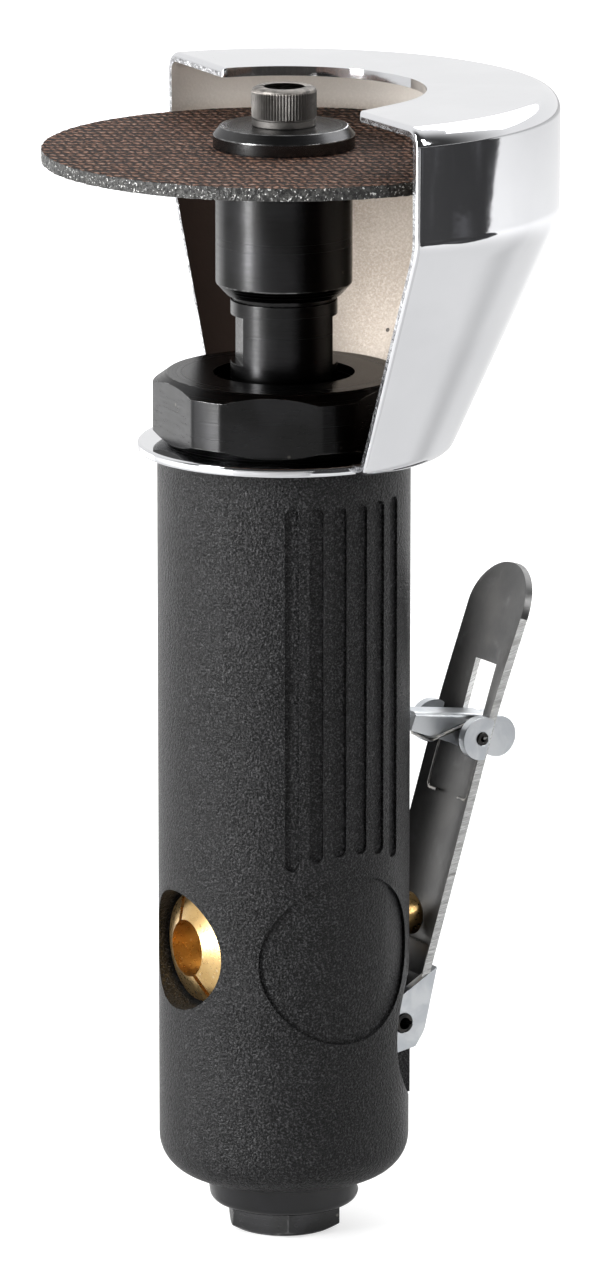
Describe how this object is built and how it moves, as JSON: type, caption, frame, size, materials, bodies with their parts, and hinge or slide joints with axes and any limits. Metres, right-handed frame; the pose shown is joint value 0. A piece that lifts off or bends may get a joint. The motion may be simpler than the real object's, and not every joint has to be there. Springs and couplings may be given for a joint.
{
  "type": "pneumatic cut off tool",
  "caption": "Hand-held air tool: round black grip with a sprung throttle lever and safety latch, and a thin abrasive cutting wheel under a half-round chrome guard.",
  "frame": {"origin": "centre of the air inlet's mouth, at the lower end of the tool", "axes": "+Z along the motor axis towards the wheel, +X towards the throttle lever"},
  "size_m": [0.0813, 0.0848, 0.1824],
  "materials": {
    "black_coat": "black fine-grained coat on die-cast aluminium",
    "chrome_plate": "bright chrome outside, dull inside",
    "black_oxide": "turned steel, black oxide, satin",
    "worn_screw": "knurled alloy steel, worn dark grey",
    "abrasive": "brown resin-bonded grit with a woven glass net",
    "motor_steel": "ground steel",
    "bearing_steel": "polished bearing steel",
    "vane_fibre": "brown fibre laminate",
    "brass": "turned brass",
    "rubber": "black rubber",
    "black_plastic": "smooth moulded black plastic",
    "felt": "grey pressed felt",
    "lever_steel": "pressed steel, dark satin, bright sheared edges",
    "zinc_plate": "zinc plated pressed steel",
    "pin_steel": "dark spring steel roll pin",
    "spring_steel": "drawn steel wire"
  },
  "bodies": {
    "tool_body": {"housing": "black_coat", "clamp_nut": "black_oxide", "motor_cylinder": "motor_steel", "front_end_plate": "motor_steel", "rear_end_plate": "motor_steel", "cylinder_dowel": "motor_steel", "motor_gasket": "rubber", "front_bearing_outer": "bearing_steel", "rear_bearing_outer": "bearing_steel", "valve_bushing": "brass", "bushing_seal": "rubber", "valve_spring": "spring_steel", "inlet_bushing": "black_oxide", "inlet_seal": "rubber", "inlet_screen": "spring_steel", "silencer_felt": "felt", "lever_pivot_pin": "pin_steel"},
    "spindle": {"rotor": "motor_steel", "rotor_vanes": "vane_fibre", "spindle": "black_oxide", "inner_flange": "black_oxide", "cutting_wheel": "abrasive", "outer_flange": "black_oxide", "cap_screw": "worn_screw", "front_bearing_inner": "bearing_steel", "rear_bearing_inner": "bearing_steel"},
    "front_balls": {"front_bearing_balls": "bearing_steel"},
    "rear_balls": {"rear_bearing_balls": "bearing_steel"},
    "guard": {"wheel_guard": "chrome_plate"},
    "lever": {"throttle_lever": "lever_steel", "latch_pin": "pin_steel", "latch_spring": "spring_steel"},
    "latch": {"latch": "zinc_plate"},
    "valve": {"valve_stem": "brass", "valve_seal": "rubber"},
    "regulator": {"regulator": "brass", "regulator_seal": "rubber"},
    "deflector": {"exhaust_deflector": "black_plastic"}
  },
  "joints": [
    {"name": "spindle_spin", "type": "hinge", "parent": "tool_body", "child": "spindle", "pos_m": [0, 0, 0], "axis": [0, 0, 1], "continuous": true},
    {"name": "front_ball_roll", "type": "hinge", "parent": "tool_body", "child": "front_balls", "pos_m": [0, 0, 0], "axis": [0, 0, 1], "continuous": true},
    {"name": "rear_ball_roll", "type": "hinge", "parent": "tool_body", "child": "rear_balls", "pos_m": [0, 0, 0], "axis": [0, 0, 1], "continuous": true},
    {"name": "guard_turn", "type": "hinge", "parent": "tool_body", "child": "guard", "pos_m": [0, 0, 0], "axis": [0, 0, 1], "continuous": true},
    {"name": "lever_squeeze", "type": "hinge", "parent": "tool_body", "child": "lever", "pos_m": [0.0174, 0, 0.032], "axis": [0, -1, 0], "range_deg": [0, 5.5], "stiffness_Nm_per_rad": 1, "springref_deg": -2.86},
    {"name": "latch_fold", "type": "hinge", "parent": "lever", "child": "latch", "pos_m": [0.0319, 0, 0.0765], "axis": [0, -1, 0], "range_deg": [0, 77], "deforming": ["latch_spring"]},
    {"name": "valve_push", "type": "slide", "parent": "tool_body", "child": "valve", "axis": [-1, 0, 0], "range_m": [0, 0.0016], "deforming": ["valve_spring"]},
    {"name": "regulator_turn", "type": "hinge", "parent": "tool_body", "child": "regulator", "pos_m": [0, 0, 0.0475], "axis": [-1, 0, 0], "range_deg": [-90, 90]},
    {"name": "deflector_turn", "type": "hinge", "parent": "tool_body", "child": "deflector", "pos_m": [0, 0, 0], "axis": [0, 0, 1], "continuous": true}
  ],
  "couplings": [
    {"joint": "front_ball_roll", "follows": "spindle_spin", "ratio": 0.37},
    {"joint": "rear_ball_roll", "follows": "spindle_spin", "ratio": 0.372},
    {"joint": "latch_fold", "follows": "lever_squeeze", "ratio": 14},
    {"joint": "valve_push", "follows": "lever_squeeze", "m_per_rad": 0.0155}
  ]
}
